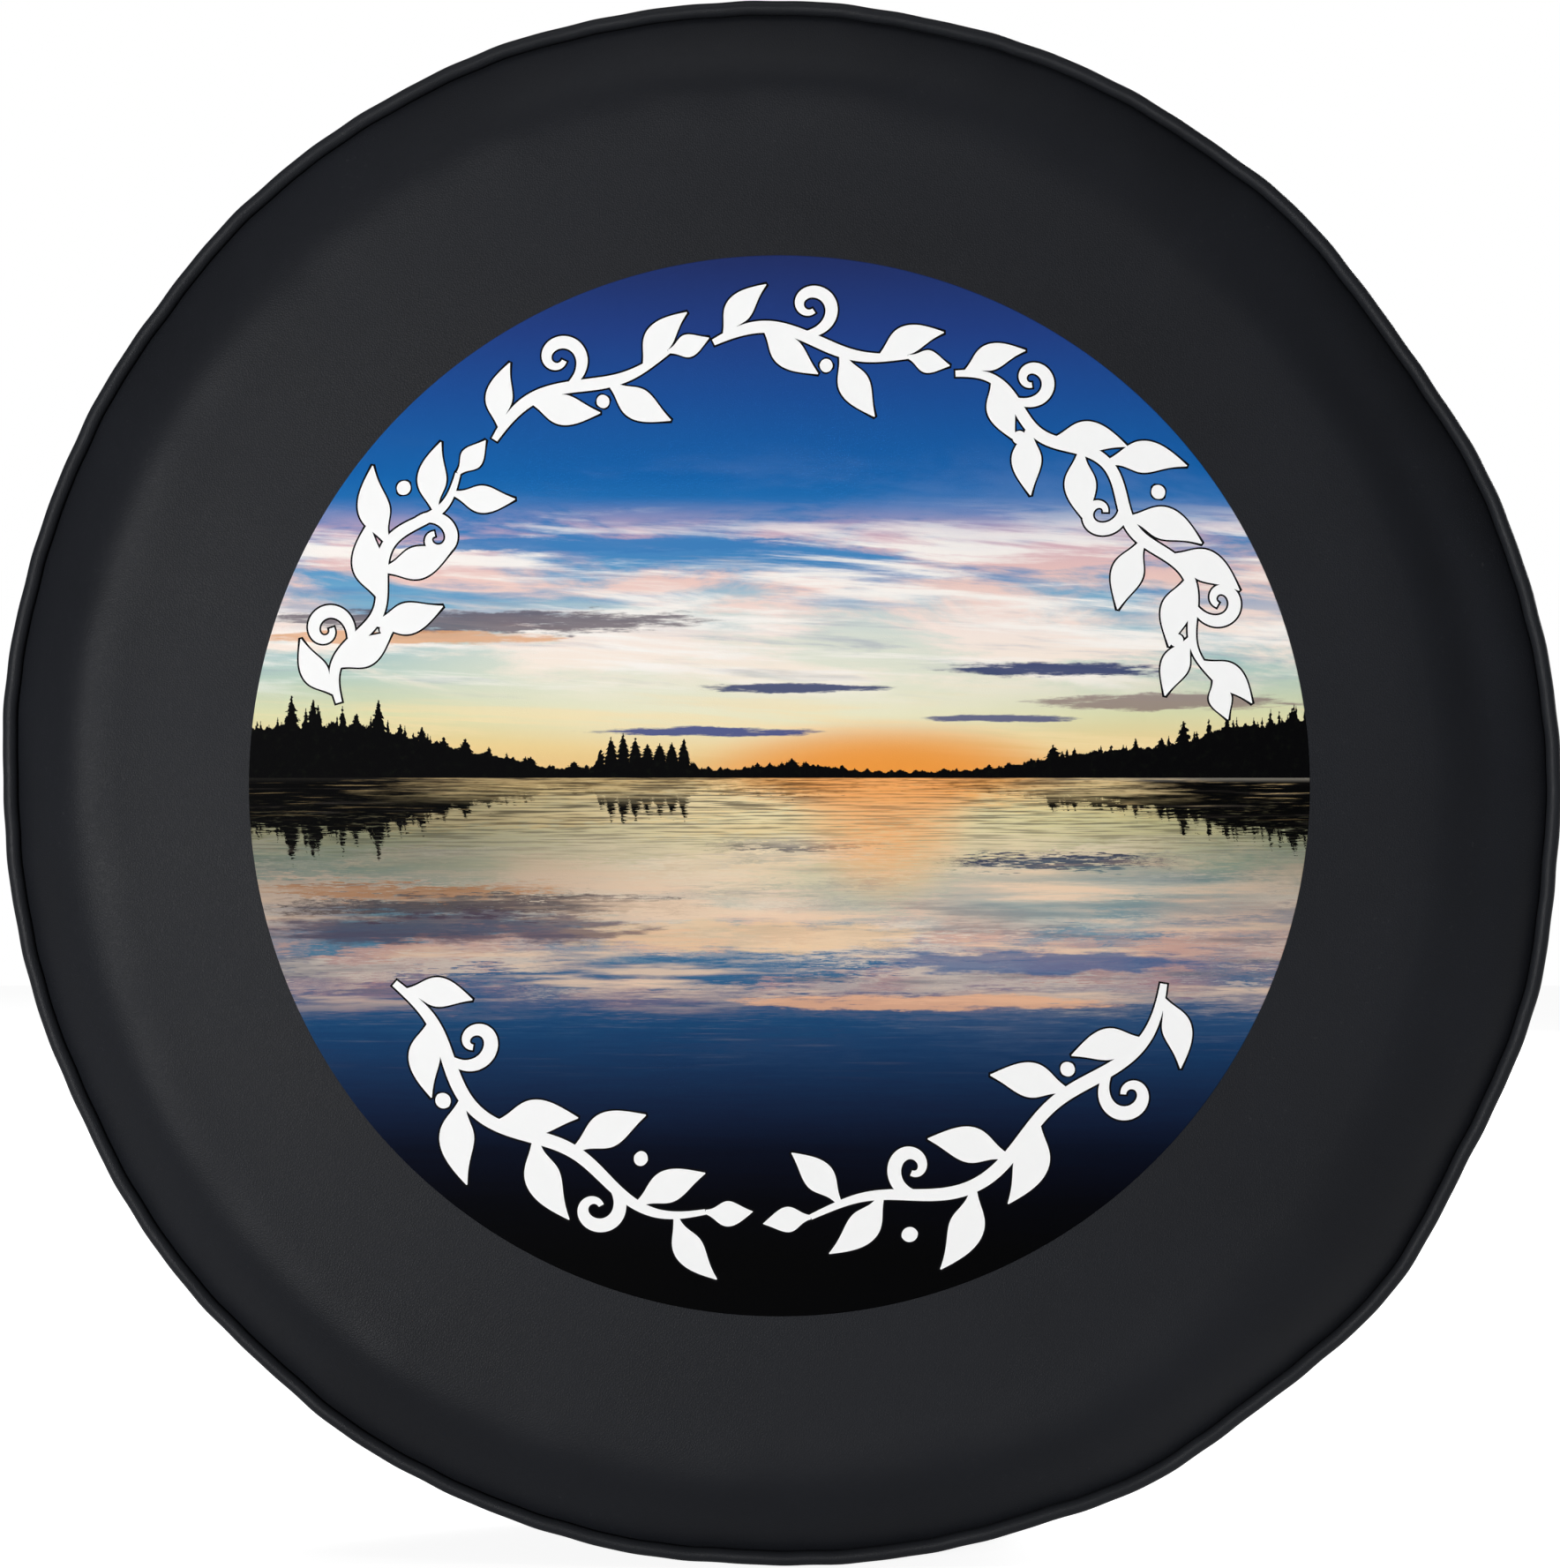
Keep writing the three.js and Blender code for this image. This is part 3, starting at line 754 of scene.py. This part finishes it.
    deep = wiring.ramp(
        depth,
        (
            (0.0, "#ffffff"), (0.1, "#f4e8d2"), (0.17, "#ecdfc8"), (0.3, "#e4dad0"),
            (0.42, "#c9bfb8"), (0.52, "#a6a29e"), (0.6, "#85817d"), (0.7, "#4a4846"),
            (0.8, "#1d1d1f"), (0.9, "#070708"),
        ),
    )
    murk = times(wiring.between(depth, 0.25, 0.6), 0.22)
    wet = wiring.mixed(1.0, wiring.mixed(murk, colour, "#504c50"), deep, "MULTIPLY")
    swath = wiring.noise(wiring.point(times(across, 1.1), times(over, 16.0), 5.0), 1.6, 6.0, 0.6)
    warm = times(wiring.between(depth, 0.12, 0.22), wiring.between(depth, 0.46, 0.39))
    peach = times(wiring.between(swath, 0.5, 0.64), warm, 0.75)
    wet = wiring.mixed(peach, wet, "#f3d3b4")
    slate = times(wiring.between(swath, 0.46, 0.34), warm, 0.55)
    wet = wiring.mixed(slate, wet, "#5d6474")
    streak = wiring.noise(wiring.point(times(across, 2.0), times(over, 60.0)), 2.0, 5.0)
    shimmer = times(wiring.between(streak, 0.55, 0.75), wiring.between(depth, 0.6, 0.4, 0.0, 0.08))
    wet = wiring.mixed(shimmer, wet, "#ffe9d2", "SCREEN")
    for centre, size, tint, strength, seed in WATER_DRIFTS:
        mask = drift(wiring, across, depth, centre, size, seed)
        wet = wiring.mixed(times(mask, strength), wet, tint)
    teal = times(glow_patch(wiring, across, depth, (0.6, 0.22), (0.4, 0.08)), 0.75)
    wet = wiring.mixed(times(teal, wiring.between(swath, 0.62, 0.42)), wet, "#7c989c")
    aside = wiring.between(maths("ABSOLUTE", maths("SUBTRACT", across, GLOW)), 0.2, 0.95)
    shade = times(aside, wiring.between(depth, 0.5, 0.1), 0.65)
    wet = wiring.mixed(shade, wet, "#62687c", "MULTIPLY")
    column = glow_patch(wiring, across, depth, (GLOW, 0.0), (0.2, 0.26))
    column = times(column, wiring.between(chop, 0.25, 0.6, 0.35, 1.0), 0.85)
    wet = wiring.mixed(column, wet, "#f6ac68")
    furrow = wiring.noise(wiring.point(times(across, 7.0), times(over, 260.0), 3.0), 1.0, 4.0)
    furrows = times(wiring.between(furrow, 0.46, 0.6), wiring.between(depth, 0.19, 0.05))
    furrows = times(furrows, maths("MULTIPLY_ADD", column, -0.5, 0.8))
    wet = wiring.mixed(furrows, wet, "#55535c", "MULTIPLY")
    bright = times(wiring.between(furrow, 0.42, 0.32), wiring.between(depth, 0.10, 0.02, 0.0, 0.45))
    wet = wiring.mixed(times(bright, wiring.between(across, -1.1, -0.4, 0.25, 1.0)), wet, "#e9c890")
    line = times(wiring.between(depth, 0.010, 0.0), water)
    line = times(line, wiring.between(across, 0.4, 0.8, 0.02, 0.35))
    wet = wiring.mixed(line, wet, "#b9b2a4")
    wiring.join(wiring.mixed(water, colour, wet), go["Color"])
    return wiring.tree


def picture_material():
    material, wiring, shader, place = shaded("printed_picture", 0.55, 0.025)
    spot = wiring.add("ShaderNodeSeparateXYZ", {0: place}).outputs
    across = wiring.maths("DIVIDE", spot["X"], print_radius)
    up = wiring.maths("DIVIDE", spot["Z"], print_radius)
    wiring.join(wiring.use(lake_picture, Across=across, Up=up)["Color"], shader.inputs["Base Color"])
    grain = wiring.use(pressed_grain, Place=place)
    bump(wiring, shader, grain["Height"], 0.0001, 0.25)
    return material


def ink_material(name, colour, colour_thin):
    material, wiring, shader, place = shaded(name, 0.55, 0.03)
    grain = wiring.use(pressed_grain, Place=place)
    wiring.join(wiring.mixed(grain["Mottle"], colour, colour_thin), shader.inputs["Base Color"])
    bump(wiring, shader, grain["Height"], 0.0001, 0.2)
    return material


pressed_grain = make_grain()
dust = make_dust()
crossing_threads = make_threads()
conifers = make_conifers()
cloud_streaks = make_streaks()
dusk_sky = make_sky()
lake_picture = make_lake()

black_vinyl = vinyl_material("black_vinyl", "#1a1b1e", "#202227", 0.097)
# The welt's vinyl is black_vinyl made paler: its paler colours are a painted highlight on the bead, and only
# its extra gloss is real shine.
welt_vinyl_painted_highlight = vinyl_material("welt_vinyl_painted_highlight", "#1d1e21", "#25272b", 0.12)
knit_backing = threaded_material("knit_backing", 0.95, 0.1, 0.3, "#4a4a4c", "#77777a", 0.0002, 1100.0)
bonded_thread = threaded_material("bonded_thread", 0.55, 0.4, 0.2, "#121214", "#2b2b2e", 0.00006, 2600.0)
braided_elastic = threaded_material("braided_elastic", 0.85, 0.2, 0.2, "#101012", "#2a2a2d", 0.0003, 800.0)
filler_cord = cord_material()
printed_picture = picture_material()
white_ink = ink_material("white_ink", "#fbfbfa", "#ffffff")
black_ink = ink_material("black_ink", "#060607", "#0c0c0e")

# ---- sheets


def make_face():
    bm = spun(face_section(), steps=432)
    face_outwards(bm, Vector((0.1, face_y, 0)), Vector((0, -1, 0)))
    return thicken(finished("face_sheet", bm, [black_vinyl, knit_backing], ["face_panel"]), VINYL)


def make_welt():
    bm = spun(welt_section())
    face_outwards(bm, Vector((welt_centre.x + skin_radius, welt_centre.y, 0)), Vector((1, 0, 0)))
    return thicken(finished("welt_wrap", bm, [welt_vinyl_painted_highlight, knit_backing], ["welt_skin"]), VINYL)


def make_filler():
    """Three strands laid round each other, as a lobed section that turns as it goes."""
    lay = 60
    sides = 18
    turns = [math.tau * i / sides for i in range(sides)]
    reach = [CORD_RADIUS * (0.9 + 0.1 * math.cos(3 * t)) for t in turns]
    section = [welt_centre + Vector((math.cos(t), math.sin(t))) * r for t, r in zip(turns, reach)]
    bm = spun(section, steps=1080, closed=True)
    for vert in bm.verts:
        bearing = math.atan2(vert.co.z, vert.co.x)
        radial = outward_at(bearing)
        centre = radial * welt_centre.x + Vector((0, welt_centre.y, 0))
        along = radial.cross((0, 1, 0))
        vert.co = centre + Matrix.Rotation(bearing * lay, 3, along) @ (vert.co - centre)
    bmesh.ops.recalc_face_normals(bm, faces=bm.faces)
    return finished("welt_filler", bm, [filler_cord], ["welt_cord"])


def make_band(name, node, start):
    """One half of the band, from one cross seam to the other, with its ends turned in."""
    section = band_section()
    near = math.degrees(GAP / 2 / tread_radius)
    bm = spun(section, steps=FULL_STEPS // 2, start=start + near, turn=180 - 2 * near)
    inward = [moved - point for moved, point in zip(beside(section, PITCH), section)]
    for bearing, way in ((start + near, 1), (start + 180 - near, -1)):
        turn_in(bm, section, inward, bearing, way)
    out = Vector((-start / 90, 0, 0))
    face_outwards(bm, out * tread_radius, out)
    return thicken(finished(name, bm, [black_vinyl, knit_backing], [node]), VINYL)


def turn_in(bm, section, inward, bearing, way):
    """Folds the end of a strip back on itself, as the allowance of a cross seam."""
    angle = math.radians(bearing)
    radial, along = outward_at(angle), round_at(angle) * way
    first = next(i for i, p in enumerate(section) if p.y > throat.y + SEAM_ALLOWANCE + 0.006 and p.x > 0.37)
    last = max(i for i, p in enumerate(section) if p.y > rear_y - 1e-4 and p.x >= shoulder_start - 1e-5)
    at = {i: radial * section[i].x + Vector((0, section[i].y, 0)) for i in range(first, last + 1)}
    found = {}
    ends = [v for v in bm.verts if abs(v.co.dot(along)) < 1e-6 and v.co.dot(radial) > 0]
    for i, place in at.items():
        found[min(ends, key=lambda v: (v.co - place).length_squared)] = i
    edges = [e for e in bm.edges if e.verts[0] in found and e.verts[1] in found and e.is_boundary]
    bends = [math.pi * k / 4 for k in range(1, 5)]
    rows = [(PITCH / 2 * math.sin(t), PITCH / 2 * (1 - math.cos(t))) for t in bends]
    rows += [(SEAM_ALLOWANCE * k / 4, PITCH) for k in range(1, 5)]
    number = dict(found)
    for sideways, depth in rows:
        made = bmesh.ops.extrude_edge_only(bm, edges=edges)["geom"]
        new_edges = [g for g in made if isinstance(g, bmesh.types.BMEdge)]
        new_verts = [g for g in made if isinstance(g, bmesh.types.BMVert)]
        fresh = {}
        for vert in new_verts:
            old = next(e.other_vert(vert) for e in vert.link_edges if e.other_vert(vert) in number)
            fresh[vert] = number[old]
        for vert, i in fresh.items():
            inside = radial * inward[i].x + Vector((0, inward[i].y, 0))
            dip = sideways**2 / (2 * tread_radius)
            vert.co = at[i] + inside * depth / PITCH + along * sideways - radial * dip
        edges = [e for e in new_edges if e.verts[0] in fresh and e.verts[1] in fresh]
        number = fresh


def make_elastic():
    half = elastic_thickness / 2 - 0.0001
    corners = Pen((elastic_inner + half, elastic_y - half), 0)
    for _ in range(2):
        corners.run(elastic_outer - elastic_inner - 2 * half, 6).turn(180, half, 6)
    bm = spun(corners.points[:-1], closed=True)
    bmesh.ops.recalc_face_normals(bm, faces=bm.faces)
    return finished("hem_band", bm, [braided_elastic], ["hem_elastic"])


def make_picture():
    middle = face_y - VINYL / 2 - FILM / 2
    rim = Vector((print_radius, middle))
    bm = spun(spread(Vector((0, middle)), rim - Vector((0.0004, 0)), 12) + [rim], steps=288)
    face_outwards(bm, Vector((0.1, middle, 0)), Vector((0, -1, 0)))
    sides = [printed_picture, black_vinyl]
    return thicken(finished("print_picture", bm, sides, ["printed_film"], settle=False), FILM)


# ---- stitches


def make_stitch():
    """One stitch along X with its top towards Y, pulled in at both ends."""
    bm = bmesh.new()
    lying = Matrix.Rotation(math.pi / 2, 4, "Y")
    bmesh.ops.create_uvsphere(bm, u_segments=6, v_segments=6, radius=1, matrix=lying)
    bmesh.ops.scale(bm, vec=(STITCH_LENGTH * 0.46, THREAD_RADIUS * 0.85, THREAD_RADIUS), verts=bm.verts)
    mesh = bpy.data.meshes.new("stitch")
    bm.to_mesh(mesh)
    bm.free()
    return mesh


def stitched(name, places, node):
    """A row of separate stitches."""
    bm = bmesh.new()
    for place, along, out in places:
        one = stitch.copy()
        turned = Matrix((along, out, along.cross(out))).transposed().to_4x4()
        one.transform(Matrix.Translation(place) @ turned)
        bm.from_mesh(one)
        bpy.data.meshes.remove(one)
    bmesh.ops.recalc_face_normals(bm, faces=bm.faces)
    return finished(name, bm, [bonded_thread], [node])


def ring_of_stitches(radius, y, lies=None):
    """Stitches round the wheel, with their tops along the axis by lies, or towards the axis without it."""
    count = round(math.tau * radius / STITCH_LENGTH)
    for i in range(count):
        bearing = math.tau * i / count
        place = outward_at(bearing) * radius + Vector((0, y, 0))
        yield place, round_at(bearing), Vector((0, lies, 0)) if lies else -outward_at(bearing)


def row_of_stitches(side, end):
    """Stitches beside a cross seam, at a distance from it, over the tread and the rear shoulder."""
    lie = VINYL / 2 + THREAD_RADIUS * 0.5
    path = spread(Vector((tread_radius, welt_centre.y + 0.009)), Vector((tread_radius, shoulder_front)), 20)
    path += rear_shoulder(30)[1:] + [Vector((hem_stitch + 0.002, rear_y))]
    path = beside(path, -lie)
    left = 0.0
    for a, b in zip(path, path[1:]):
        way = (b - a).normalized()
        while left < (b - a).length:
            spot = a + way * left
            out = -left_of(way)
            yield (
                Vector((side * TOPSTITCH_INSET, spot.y, end * spot.x)),
                Vector((0, way.y, end * way.x)),
                Vector((0, out.y, end * out.x)),
            )
            left += STITCH_LENGTH
        left -= (b - a).length


def make_stitches():
    lie = VINYL / 2 + THREAD_RADIUS * 0.5
    on_face_layer = beside(tuck, 1.5 * PITCH + lie)
    seam = on_face_layer[-5] + (on_face_layer[-1] - on_face_layer[-5]).normalized() * STITCH_BACK
    rings = (
        ("welt_stitches", ring_of_stitches(seam.x, seam.y), "welt_seam_thread"),
        ("hem_stitches_outside", ring_of_stitches(hem_stitch, rear_y + lie, 1), "hem_needle_thread"),
        ("hem_stitches_inside", ring_of_stitches(hem_stitch, rear_y - PITCH - lie, -1), "hem_bobbin_thread"),
    )
    for name, places, node in rings:
        stitched(name, places, node)
    for end_name, end in (("top", 1), ("bottom", -1)):
        for side_name, side in (("right", 1), ("left", -1)):
            node = f"{end_name}_seam_thread_{side_name}"
            stitched(f"{end_name}_stitches_{side_name}", row_of_stitches(side, end), node)


# ---- the ornament: leafy scrolls round the picture

INK_LIFT = 0.00004
OUTLINE = 0.0009
# Each sprig: its first and last bearing in degrees, then its radius and half width as shares of the picture.
SPRIGS = (
    (170, 134, 0.845, 0.13),
    (130, 103, 0.845, 0.13),
    (99, 72, 0.845, 0.13),
    (68, 11, 0.845, 0.13),
    (206, 263, 0.815, 0.145),
    (334, 271, 0.815, 0.145),
)


def stroke(pen, width, swell):
    """A brush stroke: a path, and half its width along it."""
    last = len(pen.points) - 1
    widths = []
    for i in range(last + 1):
        at = i / last * (len(swell) - 1)
        k = min(int(at), len(swell) - 2)
        widths.append(width * (swell[k] + (swell[k + 1] - swell[k]) * (at - k)))
    return pen.points, widths


def leaf(start, degrees, length, width, bend):
    pen = Pen(start, degrees).turn(bend, length / math.radians(abs(bend)), 8)
    return stroke(pen, width, (0.16, 0.26, 0.62, 0.94, 1.0, 0.86, 0.6, 0.3, 0.03))


def tendril(start, degrees, size, side, width):
    """A thin shoot that winds in on itself."""
    pen = Pen(start, degrees)
    radius = size
    for _ in range(17):
        pen.turn(side * 24, radius, 1)
        radius *= 0.91
    return stroke(pen, width, (0.5, 0.9, 1.0, 0.95, 0.8, 0.65, 0.5, 0.4))


def berry(centre, size):
    reach = (-1, -0.92, -0.7, -0.38, 0, 0.38, 0.7, 0.92, 1)
    pen = Pen(centre + Vector((reach[0] * size, 0)), 0)
    pen.points = [centre + Vector((r * size, 0)) for r in reach]
    return pen.points, [max(0.05, math.sqrt(1 - r * r)) * size for r in reach]


def sprig_strokes(length, half):
    """Brush strokes of one sprig: a waving stem with leaves, tendrils and berries on both its sides."""
    waves = max(1, round(length / (2.5 * half)))
    stem_points = 12 * waves

    def on_stem(t):
        return Vector((length * (0.02 + 0.93 * t), 0.17 * half * math.sin(math.tau * waves * t)))

    stem = Pen((0, 0), 0)
    stem.points = [on_stem(i / stem_points) for i in range(stem_points + 1)]
    strokes = [stroke(stem, 0.09 * half, (0.5, 0.9, 1.0, 0.9, 1.0, 0.9, 0.7, 0.4))]
    count = 5 * waves
    for k in range(count):
        t = (k + 0.3) / count
        side = 1 if k % 2 == 0 else -1
        start = on_stem(t)
        size = 0.80 + 0.2 * math.sin(math.pi * t)
        if k % 5 == 2:
            strokes.append(tendril(start, side * 4, 0.43 * half * size, side, 0.092 * half))
            strokes.append(berry(start + Vector((0.37 * half, -side * 0.41 * half)), 0.10 * half))
        else:
            turn = side * (66 if k % 3 == 0 else 56)
            strokes.append(leaf(start, turn, 1.14 * half * size, 0.24 * half * size, -side * 34))
    strokes.append(leaf(stem.points[-1], 0, 0.62 * half, 0.17 * half, 14))
    return strokes


def round_the_wheel(point, first, last, run_radius):
    """Bends a straight sprig onto its arc."""
    way = 1 if last > first else -1
    bearing = math.radians(first) + way * point.x / run_radius
    radius = run_radius - way * point.y
    return Vector((radius * math.cos(bearing), radius * math.sin(bearing), 0))


def inked(name, strokes, extra, lift, material):
    """Brush strokes as flat ink of a hair's thickness on the picture."""
    curve = bpy.data.curves.new(name, "CURVE")
    curve.dimensions = "3D"
    curve.twist_mode = "Z_UP"
    curve.extrude = 1.0
    curve.resolution_u = 5
    for i, (points, widths) in enumerate(strokes):
        spline = curve.splines.new("NURBS")
        spline.points.add(len(points) - 1)
        spline.order_u = 4
        spline.use_endpoint_u = True
        for knot, point, width in zip(spline.points, points, widths):
            knot.co = (point.x, point.y, i % 20 * INK_LIFT / 24, 1)
            knot.radius = width + extra
            knot.tilt = math.pi / 2
    holder = bpy.data.objects.new(name + "_line", curve)
    bpy.context.scene.collection.objects.link(holder)
    bpy.context.view_layer.update()
    mesh = bpy.data.meshes.new_from_object(holder.evaluated_get(bpy.context.evaluated_depsgraph_get()))
    bpy.data.objects.remove(holder)
    bm = bmesh.new()
    bm.from_mesh(mesh)
    bpy.data.meshes.remove(mesh)
    forward = Matrix.Translation((0, face_y - VINYL / 2 - FILM - lift, 0))
    bmesh.ops.transform(bm, matrix=forward @ Matrix.Rotation(math.pi / 2, 4, "X"), verts=bm.verts)
    bmesh.ops.remove_doubles(bm, verts=bm.verts, dist=1e-6)
    bmesh.ops.reverse_faces(bm, faces=[f for f in bm.faces if f.normal.y > 0])
    return finished(name, bm, [material], [], smooth=False, settle=False)


def make_ornament():
    strokes = []
    for first, last, middle, half in SPRIGS:
        run_radius = middle * print_radius
        length = run_radius * math.radians(abs(last - first))
        for points, widths in sprig_strokes(length, half * print_radius):
            strokes.append(([round_the_wheel(p, first, last, run_radius) for p in points], widths))
    edged = []
    for points, widths in strokes:
        head = points[0] - (points[1] - points[0]).normalized() * OUTLINE
        tail = points[-1] + (points[-1] - points[-2]).normalized() * OUTLINE
        edged.append(([head, *points[1:-1], tail], widths))
    inked("print_sprig_edge", edged, OUTLINE, INK_LIFT, black_ink)
    inked("print_sprig", strokes, 0.0, 2 * INK_LIFT, white_ink)


# ---- the cover

stitch = make_stitch()
face_sheet = make_face()
welt_wrap = make_welt()
make_filler()
tread_right = make_band("tread_sheet_right", "band_strip_right", -90)
tread_left = make_band("tread_sheet_left", "band_strip_left", 90)
make_elastic()
make_picture()
make_stitches()
make_ornament()


def length_of(section):
    return sum((b - a).length for a, b in zip(section, section[1:]))


def declare_sheets():
    """Measures how far the face's, the welt's and the band's sections run; the lengths are not used."""
    across_face = 2 * length_of(face_section())
    bias_strip = length_of(welt_section())
    strip = length_of(band_section())


declare_sheets()

# ---- studio


def make_floor():
    bm = bmesh.new()
    bmesh.ops.create_grid(bm, x_segments=1, y_segments=1, size=6)
    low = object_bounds()[0].z - 0.001
    bmesh.ops.transform(bm, matrix=Matrix.Translation((0, 0, low)), verts=bm.verts)
    mesh = bpy.data.meshes.new("floor")
    bm.to_mesh(mesh)
    bm.free()
    floor = bpy.data.objects.new("floor", mesh)
    bpy.context.scene.collection.objects.link(floor)
    material, wiring, shader, place = shaded("pale_floor", 0.8, 0.2)
    white = wiring.mixed(wiring.noise(place, 3.0, 4.0), "#d2d2d2", "#dadada")
    wiring.join(white, shader.inputs["Base Color"])
    rays = wiring.add("ShaderNodeLightPath").outputs
    lit = wiring.maths("MULTIPLY_ADD", rays["Is Camera Ray"], 0.88, wiring.times(rays["Is Glossy Ray"], 0.3))
    shader.inputs["Emission Strength"].default_value = 1.0
    wiring.join(wiring.mixed(lit, (0, 0, 0, 1), (1, 1, 1, 1)), shader.inputs["Emission Color"])
    mesh.materials.append(material)


def make_light(name, place, target, size, power, tint=(1, 1, 1)):
    light = bpy.data.lights.new(name, "AREA")
    light.shape = "RECTANGLE"
    light.size, light.size_y = size
    light.energy = power
    light.color = tint
    holder = bpy.data.objects.new(name, light)
    holder.location = place
    holder.rotation_euler = (Vector(target) - Vector(place)).to_track_quat("-Z", "Y").to_euler()
    bpy.context.scene.collection.objects.link(holder)


def make_world():
    """White behind the cover, and a softer light all round it."""
    world = bpy.data.worlds.new("studio")
    world.use_nodes = True
    bpy.context.scene.world = world
    wiring = Wiring(world.node_tree)
    output = world.node_tree.nodes["World Output"]
    ray = wiring.add("ShaderNodeLightPath").outputs["Is Camera Ray"]
    around = wiring.add("ShaderNodeBackground", {"Color": (1, 1, 1, 1), "Strength": 0.10}).outputs[0]
    behind = wiring.add("ShaderNodeBackground", {"Color": (1, 1, 1, 1), "Strength": 1.0}).outputs[0]
    mix = wiring.add("ShaderNodeMixShader", {0: ray, 1: around, 2: behind}).outputs[0]
    wiring.join(mix, output.inputs["Surface"])


def make_camera():
    """Straight in front, from far off, with the welt just inside the picture's sides."""
    lens = bpy.data.cameras.new("camera")
    lens.lens = 100
    lens.sensor_width = 36
    welt_outer = 0.3784
    share = 0.9968  # of the picture's height that the cover fills
    distance = 2 * welt_outer / share * lens.lens / lens.sensor_width
    camera = bpy.data.objects.new("camera", lens)
    camera.location = (0.0003, welt_centre.y - distance, 0.0009)
    camera.rotation_euler = (math.pi / 2, 0, 0)
    bpy.context.scene.collection.objects.link(camera)
    bpy.context.scene.camera = camera


make_floor()
make_light("key", (-1.65, -3.8, -0.02), (0, 0, 0), (1.5, 0.66), 119)
make_light("top", (-0.2, -1.1, 3.0), (0, 0, 0), (2.0, 2.0), 18)
make_light("rear", (1.6, 3.4, 1.6), (0, 0, 0), (1.8, 1.8), 130)
make_light("side", (3.0, 2.2, 1.0), (0, 0, 0), (1.8, 1.8), 36)
make_world()
make_camera()
bpy.context.scene.view_settings.view_transform = "Standard"
